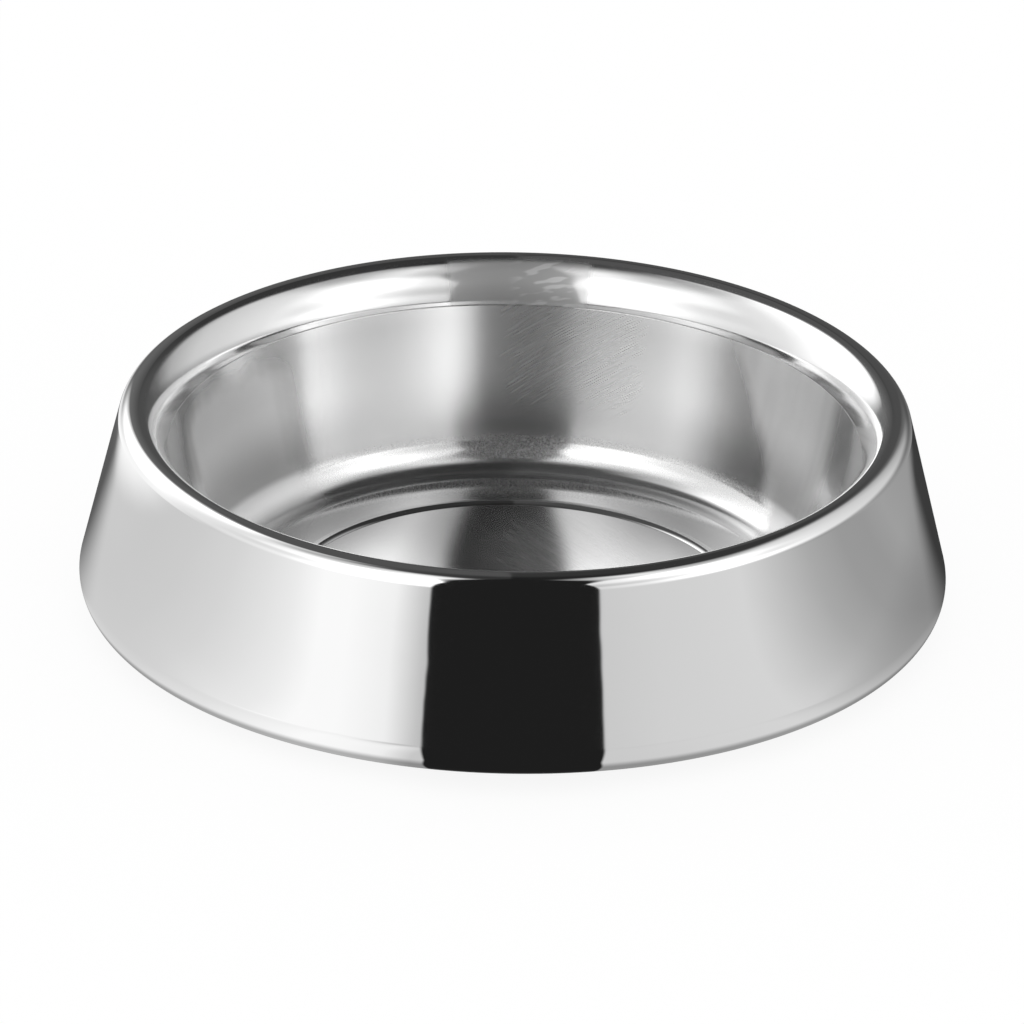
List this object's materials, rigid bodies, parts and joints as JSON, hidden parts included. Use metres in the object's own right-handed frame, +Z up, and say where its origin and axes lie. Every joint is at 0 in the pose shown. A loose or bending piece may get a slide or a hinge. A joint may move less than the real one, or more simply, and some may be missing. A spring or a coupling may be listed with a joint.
{
  "type": "pet bowl",
  "caption": "Round steel pet bowl: a shallow food well hung from a rolled rim, inside a skirt that flares to a wide base and stands on a hidden rubber ring.",
  "frame": {"origin": "centre of the rubber ring's tread, on the table", "axes": "+Z up along the bowl's axis; the bowl is round, so +X and +Y are any two level directions, with -Y towards the viewer of the picture"},
  "size_m": [0.2, 0.2, 0.05],
  "materials": {
    "satin_steel": "stainless steel, fine satin polish with faint turned marks",
    "polished_steel": "stainless steel, mirror polish",
    "black_rubber": "matt moulded rubber"
  },
  "bodies": {
    "root": {"food_well": "satin_steel", "outer_shell": "polished_steel", "non_slip_ring": "black_rubber"}
  },
  "joints": []
}
